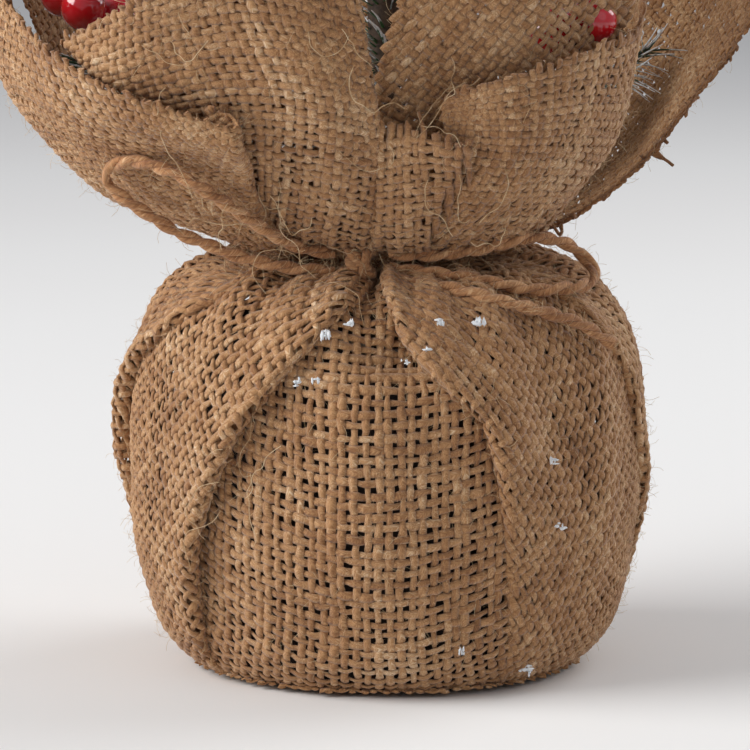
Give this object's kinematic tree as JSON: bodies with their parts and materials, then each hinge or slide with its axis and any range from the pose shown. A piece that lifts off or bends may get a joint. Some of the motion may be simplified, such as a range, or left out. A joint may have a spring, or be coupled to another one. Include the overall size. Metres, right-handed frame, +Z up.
{
  "type": "artificial tabletop tree",
  "caption": "Small artificial evergreen with wired branches, red berries and pine cones, in a weighted pot wrapped in burlap and tied with a twine bow.",
  "frame": {"origin": "on the underside of the burlap wrap, at the trunk's axis, at the level that the tree stands on", "axes": "+Z up along the trunk to the leader's tip, -Y to the front where the bow is tied, +X to the viewer's right"},
  "size_m": [0.2224, 0.2206, 0.4613],
  "materials": {
    "jute_burlap": "matte",
    "jute_twine": "matte",
    "pvc_needles": "satin",
    "berry_lacquer": "gloss",
    "florist_tape": "matte",
    "pine_cone": "matte",
    "pot_plastic": "matte",
    "cement": "matte"
  },
  "bodies": {
    "base": {"burlap_bag": "jute_burlap", "burlap_collar": "jute_burlap", "pot": "pot_plastic", "cement_weight": "cement", "trunk": "florist_tape", "leader": "pvc_needles", "twine_neck_turns": "jute_twine", "bow_knot": "jute_twine", "bow_loop_left": "jute_twine", "bow_loop_right": "jute_twine", "bow_tail_right": "jute_twine"},
    "branch_1_1": {"branch_1_1": "pvc_needles"},
    "branch_1_2": {"branch_1_2": "pvc_needles"},
    "branch_1_3": {"branch_1_3": "pvc_needles", "berries_1": "berry_lacquer", "berry_stalk_1": "florist_tape"},
    "branch_1_4": {"branch_1_4": "pvc_needles"},
    "branch_1_5": {"branch_1_5": "pvc_needles", "berries_2": "berry_lacquer", "berry_stalk_2": "florist_tape"},
    "branch_2_1": {"branch_2_1": "pvc_needles"},
    "branch_2_2": {"branch_2_2": "pvc_needles", "berries_3": "berry_lacquer", "berry_stalk_3": "florist_tape"},
    "branch_2_3": {"branch_2_3": "pvc_needles"},
    "branch_2_4": {"branch_2_4": "pvc_needles"},
    "branch_2_5": {"branch_2_5": "pvc_needles", "berries_4": "berry_lacquer", "berry_stalk_4": "florist_tape"},
    "branch_2_6": {"branch_2_6": "pvc_needles", "pine_cone_1": "pine_cone"},
    "branch_3_1": {"branch_3_1": "pvc_needles"},
    "branch_3_2": {"branch_3_2": "pvc_needles"},
    "branch_3_3": {"branch_3_3": "pvc_needles"},
    "branch_3_4": {"branch_3_4": "pvc_needles", "pine_cone_2": "pine_cone"},
    "branch_3_5": {"branch_3_5": "pvc_needles", "berries_5": "berry_lacquer", "berry_stalk_5": "florist_tape"},
    "branch_3_6": {"branch_3_6": "pvc_needles", "pine_cone_3": "pine_cone"},
    "branch_4_1": {"branch_4_1": "pvc_needles"},
    "branch_4_2": {"branch_4_2": "pvc_needles"},
    "branch_4_3": {"branch_4_3": "pvc_needles"},
    "branch_4_4": {"branch_4_4": "pvc_needles", "berries_6": "berry_lacquer", "berry_stalk_6": "florist_tape"},
    "branch_4_5": {"branch_4_5": "pvc_needles", "pine_cone_4": "pine_cone"},
    "branch_5_1": {"branch_5_1": "pvc_needles"},
    "branch_5_2": {"branch_5_2": "pvc_needles"},
    "branch_5_3": {"branch_5_3": "pvc_needles", "berries_7": "berry_lacquer", "berry_stalk_7": "florist_tape"},
    "branch_5_4": {"branch_5_4": "pvc_needles"}
  },
  "joints": [
    {"name": "branch_1_1_bend", "type": "hinge", "parent": "base", "child": "branch_1_1", "pos_m": [0.00468, 0.0027, 0.102], "axis": [0.5, -0.866, 0], "range_deg": [0, 10]},
    {"name": "branch_1_2_bend", "type": "hinge", "parent": "base", "child": "branch_1_2", "pos_m": [-0.00112, 0.00528, 0.102], "axis": [0.9781, 0.2079, 0], "range_deg": [0, 10]},
    {"name": "branch_1_3_bend", "type": "hinge", "parent": "base", "child": "branch_1_3", "pos_m": [-0.00537, 0.00056, 0.102], "axis": [0.1045, 0.9945, 0], "range_deg": [0, 10]},
    {"name": "branch_1_4_bend", "type": "hinge", "parent": "base", "child": "branch_1_4", "pos_m": [-0.0022, -0.00493, 0.102], "axis": [-0.9135, 0.4067, 0], "range_deg": [0, 10]},
    {"name": "branch_1_5_bend", "type": "hinge", "parent": "base", "child": "branch_1_5", "pos_m": [0.00401, -0.00361, 0.102], "axis": [-0.6691, -0.7431, 0], "range_deg": [0, 10]},
    {"name": "branch_2_1_bend", "type": "hinge", "parent": "base", "child": "branch_2_1", "pos_m": [0.00524, 0.00131, 0.168], "axis": [0.2419, -0.9703, 0], "range_deg": [-4, 14]},
    {"name": "branch_2_2_bend", "type": "hinge", "parent": "base", "child": "branch_2_2", "pos_m": [0.00149, 0.00519, 0.168], "axis": [0.9613, -0.2756, 0], "range_deg": [-4, 14]},
    {"name": "branch_2_3_bend", "type": "hinge", "parent": "base", "child": "branch_2_3", "pos_m": [-0.00375, 0.00388, 0.168], "axis": [0.7193, 0.6947, 0], "range_deg": [-4, 14]},
    {"name": "branch_2_4_bend", "type": "hinge", "parent": "base", "child": "branch_2_4", "pos_m": [-0.00524, -0.00131, 0.168], "axis": [-0.2419, 0.9703, 0], "range_deg": [-4, 14]},
    {"name": "branch_2_5_bend", "type": "hinge", "parent": "base", "child": "branch_2_5", "pos_m": [-0.00149, -0.00519, 0.168], "axis": [-0.9613, 0.2756, 0], "range_deg": [-4, 14]},
    {"name": "branch_2_6_bend", "type": "hinge", "parent": "base", "child": "branch_2_6", "pos_m": [0.00375, -0.00388, 0.168], "axis": [-0.7193, -0.6947, 0], "range_deg": [-4, 14]},
    {"name": "branch_3_1_bend", "type": "hinge", "parent": "base", "child": "branch_3_1", "pos_m": [0.00388, 0.00375, 0.226], "axis": [0.6947, -0.7193, 0], "range_deg": [-12, 12]},
    {"name": "branch_3_2_bend", "type": "hinge", "parent": "base", "child": "branch_3_2", "pos_m": [-0.00131, 0.00524, 0.226], "axis": [0.9703, 0.2419, 0], "range_deg": [-12, 12]},
    {"name": "branch_3_3_bend", "type": "hinge", "parent": "base", "child": "branch_3_3", "pos_m": [-0.00519, 0.00149, 0.226], "axis": [0.2756, 0.9613, 0], "range_deg": [-12, 12]},
    {"name": "branch_3_4_bend", "type": "hinge", "parent": "base", "child": "branch_3_4", "pos_m": [-0.00388, -0.00375, 0.226], "axis": [-0.6947, 0.7193, 0], "range_deg": [-12, 12]},
    {"name": "branch_3_5_bend", "type": "hinge", "parent": "base", "child": "branch_3_5", "pos_m": [0.00131, -0.00524, 0.226], "axis": [-0.9703, -0.2419, 0], "range_deg": [-12, 12]},
    {"name": "branch_3_6_bend", "type": "hinge", "parent": "base", "child": "branch_3_6", "pos_m": [0.00519, -0.00149, 0.226], "axis": [-0.2756, -0.9613, 0], "range_deg": [-12, 12]},
    {"name": "branch_4_1_bend", "type": "hinge", "parent": "base", "child": "branch_4_1", "pos_m": [0.00514, 0.00167, 0.28], "axis": [0.309, -0.9511, 0], "range_deg": [-12, 12]},
    {"name": "branch_4_2_bend", "type": "hinge", "parent": "base", "child": "branch_4_2", "pos_m": [0, 0.0054, 0.28], "axis": [1, 0, 0], "range_deg": [-12, 12]},
    {"name": "branch_4_3_bend", "type": "hinge", "parent": "base", "child": "branch_4_3", "pos_m": [-0.00514, 0.00167, 0.28], "axis": [0.309, 0.9511, 0], "range_deg": [-12, 12]},
    {"name": "branch_4_4_bend", "type": "hinge", "parent": "base", "child": "branch_4_4", "pos_m": [-0.00317, -0.00437, 0.28], "axis": [-0.809, 0.5878, 0], "range_deg": [-12, 12]},
    {"name": "branch_4_5_bend", "type": "hinge", "parent": "base", "child": "branch_4_5", "pos_m": [0.00317, -0.00437, 0.28], "axis": [-0.809, -0.5878, 0], "range_deg": [-12, 12]},
    {"name": "branch_5_1_bend", "type": "hinge", "parent": "base", "child": "branch_5_1", "pos_m": [0.0027, 0.00468, 0.33], "axis": [0.866, -0.5, 0], "range_deg": [-12, 12]},
    {"name": "branch_5_2_bend", "type": "hinge", "parent": "base", "child": "branch_5_2", "pos_m": [-0.00468, 0.0027, 0.33], "axis": [0.5, 0.866, 0], "range_deg": [-12, 12]},
    {"name": "branch_5_3_bend", "type": "hinge", "parent": "base", "child": "branch_5_3", "pos_m": [-0.0027, -0.00468, 0.33], "axis": [-0.866, 0.5, 0], "range_deg": [-12, 12]},
    {"name": "branch_5_4_bend", "type": "hinge", "parent": "base", "child": "branch_5_4", "pos_m": [0.00468, -0.0027, 0.33], "axis": [-0.5, -0.866, 0], "range_deg": [-12, 12]}
  ]
}
